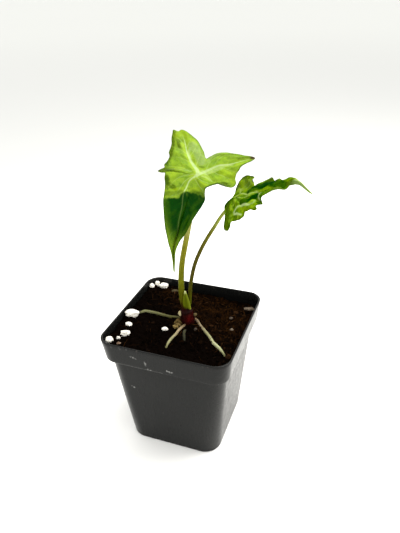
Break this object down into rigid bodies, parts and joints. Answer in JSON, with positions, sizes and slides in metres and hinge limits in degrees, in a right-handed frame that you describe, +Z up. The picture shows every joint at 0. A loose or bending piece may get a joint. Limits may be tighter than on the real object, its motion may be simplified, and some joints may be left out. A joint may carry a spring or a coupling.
{
  "type": "potted alocasia",
  "caption": "Small potted alocasia: arrowhead leaves on slender petioles over a corm with surface roots, in soil in a square tapered nursery pot.",
  "frame": {"origin": "centre of the pot's flat base, which stands on the surface at z = 0", "axes": "+Z up through the pot's middle, and -Y the pot's front face, which the upright leaf hangs over"},
  "size_m": [0.1067, 0.076, 0.1788],
  "materials": {
    "pot_plastic": "smooth black nursery plastic",
    "potting_soil": "dark moist potting soil",
    "corm_skin": "dark maroon corm skin",
    "bud_skin": "pale bud skin",
    "husk_skin": "dry tan husk",
    "petiole_olive": "smooth fleshy olive green stem",
    "petiole_brown": "smooth fleshy brown green stem",
    "sheath_green": "thin fresh green sheath",
    "leaf_blade": "satin green leaf with pale veins",
    "root_skin": "pale yellow green fleshy root",
    "perlite_white": "rough warm white expanded grain",
    "grit_tan": "tan grit",
    "bark_brown": "weathered bark chip"
  },
  "bodies": {
    "root": {"pot": "pot_plastic", "soil": "potting_soil", "corm": "corm_skin", "side_bud": "bud_skin", "husk": "husk_skin", "knob": "husk_skin", "petiole_upright": "petiole_olive", "petiole_arching": "petiole_brown", "sheath": "sheath_green", "leaf_upright": "leaf_blade", "leaf_arching": "leaf_blade", "root_left": "root_skin", "root_front_left": "root_skin", "root_middle": "root_skin", "root_right": "root_skin", "perlite_01": "perlite_white", "perlite_02": "perlite_white", "perlite_03": "perlite_white", "perlite_04": "perlite_white", "perlite_05": "perlite_white", "perlite_06": "perlite_white", "perlite_07": "perlite_white", "perlite_08": "perlite_white", "perlite_09": "perlite_white", "perlite_10": "perlite_white", "grit_1": "grit_tan", "grit_2": "grit_tan", "grit_3": "grit_tan", "bark_1": "bark_brown", "bark_2": "bark_brown"}
  },
  "joints": []
}
